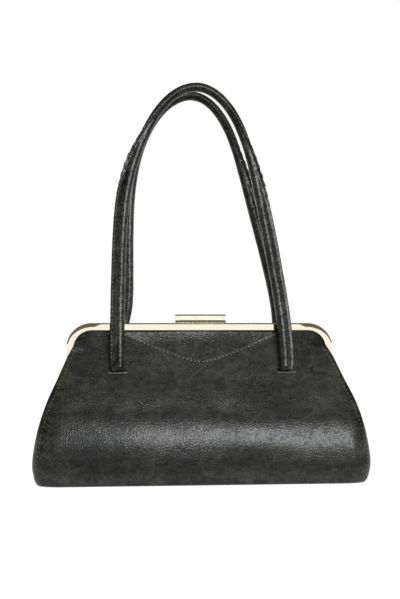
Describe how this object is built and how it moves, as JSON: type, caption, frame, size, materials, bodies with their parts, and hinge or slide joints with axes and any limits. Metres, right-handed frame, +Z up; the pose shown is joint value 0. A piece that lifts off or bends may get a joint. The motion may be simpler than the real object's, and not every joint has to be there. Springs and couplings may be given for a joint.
{
  "type": "kiss lock frame purse",
  "caption": "Leather handbag with a hinged gold channel frame, a bar clasp over it, a V yoke, a flared body and tall rolled handles.",
  "frame": {"origin": "on the table, under the middle of the bag", "axes": "+X along the frame to the right seen from the front, -Y out of the front, +Z up to the handles"},
  "size_m": [0.314, 0.0962, 0.3812],
  "materials": {
    "leather": "soft grained, semi-matt",
    "handle_leather": "soft grained, semi-matt, rolled",
    "lining": "woven twill",
    "frame_gold": "polished pale gold plate",
    "board": "pressed board",
    "packing": "twisted paper",
    "handle_core": "twisted cotton"
  },
  "bodies": {
    "bag_body": {"base_panel": "leather", "base_board": "board", "base_lining": "lining", "front_panel_lower": "leather", "rear_panel_lower": "leather", "left_gusset": "leather", "right_gusset": "leather", "front_lining_lower": "lining", "rear_lining_lower": "lining", "left_lining": "lining", "right_lining": "lining", "hinge_pins": "frame_gold", "hinge_washers": "frame_gold"},
    "front_jaw": {"front_frame": "frame_gold", "front_hinge_plates": "frame_gold", "clasp_hood": "frame_gold", "clasp_hood_rivets": "frame_gold", "front_panel_upper": "leather", "front_yoke": "leather", "front_lining_upper": "lining", "front_packing_cord": "packing", "front_handle_tails": "leather"},
    "rear_jaw": {"rear_frame": "frame_gold", "rear_hinge_plates": "frame_gold", "catch_bar": "frame_gold", "catch_bar_rivets": "frame_gold", "rear_panel_upper": "leather", "rear_lining_upper": "lining", "rear_packing_cord": "packing", "rear_handle_tails": "leather"},
    "front_handle": {"front_handle_cover": "handle_leather", "front_handle_core": "handle_core"},
    "rear_handle": {"rear_handle_cover": "handle_leather", "rear_handle_core": "handle_core"}
  },
  "joints": [
    {"name": "front_jaw_opens", "type": "hinge", "parent": "bag_body", "child": "front_jaw", "pos_m": [0, 0, 0.09], "axis": [1, 0, 0], "range_deg": [0, 30]},
    {"name": "rear_jaw_opens", "type": "hinge", "parent": "bag_body", "child": "rear_jaw", "pos_m": [0, 0, 0.09], "axis": [-1, 0, 0], "range_deg": [0, 30]},
    {"name": "front_handle_drops", "type": "hinge", "parent": "front_jaw", "child": "front_handle", "pos_m": [0, -0.02552, 0.10902], "axis": [1, 0, 0], "range_deg": [0, 65]},
    {"name": "rear_handle_drops", "type": "hinge", "parent": "rear_jaw", "child": "rear_handle", "pos_m": [0, 0.02552, 0.10902], "axis": [-1, 0, 0], "range_deg": [0, 65]}
  ]
}
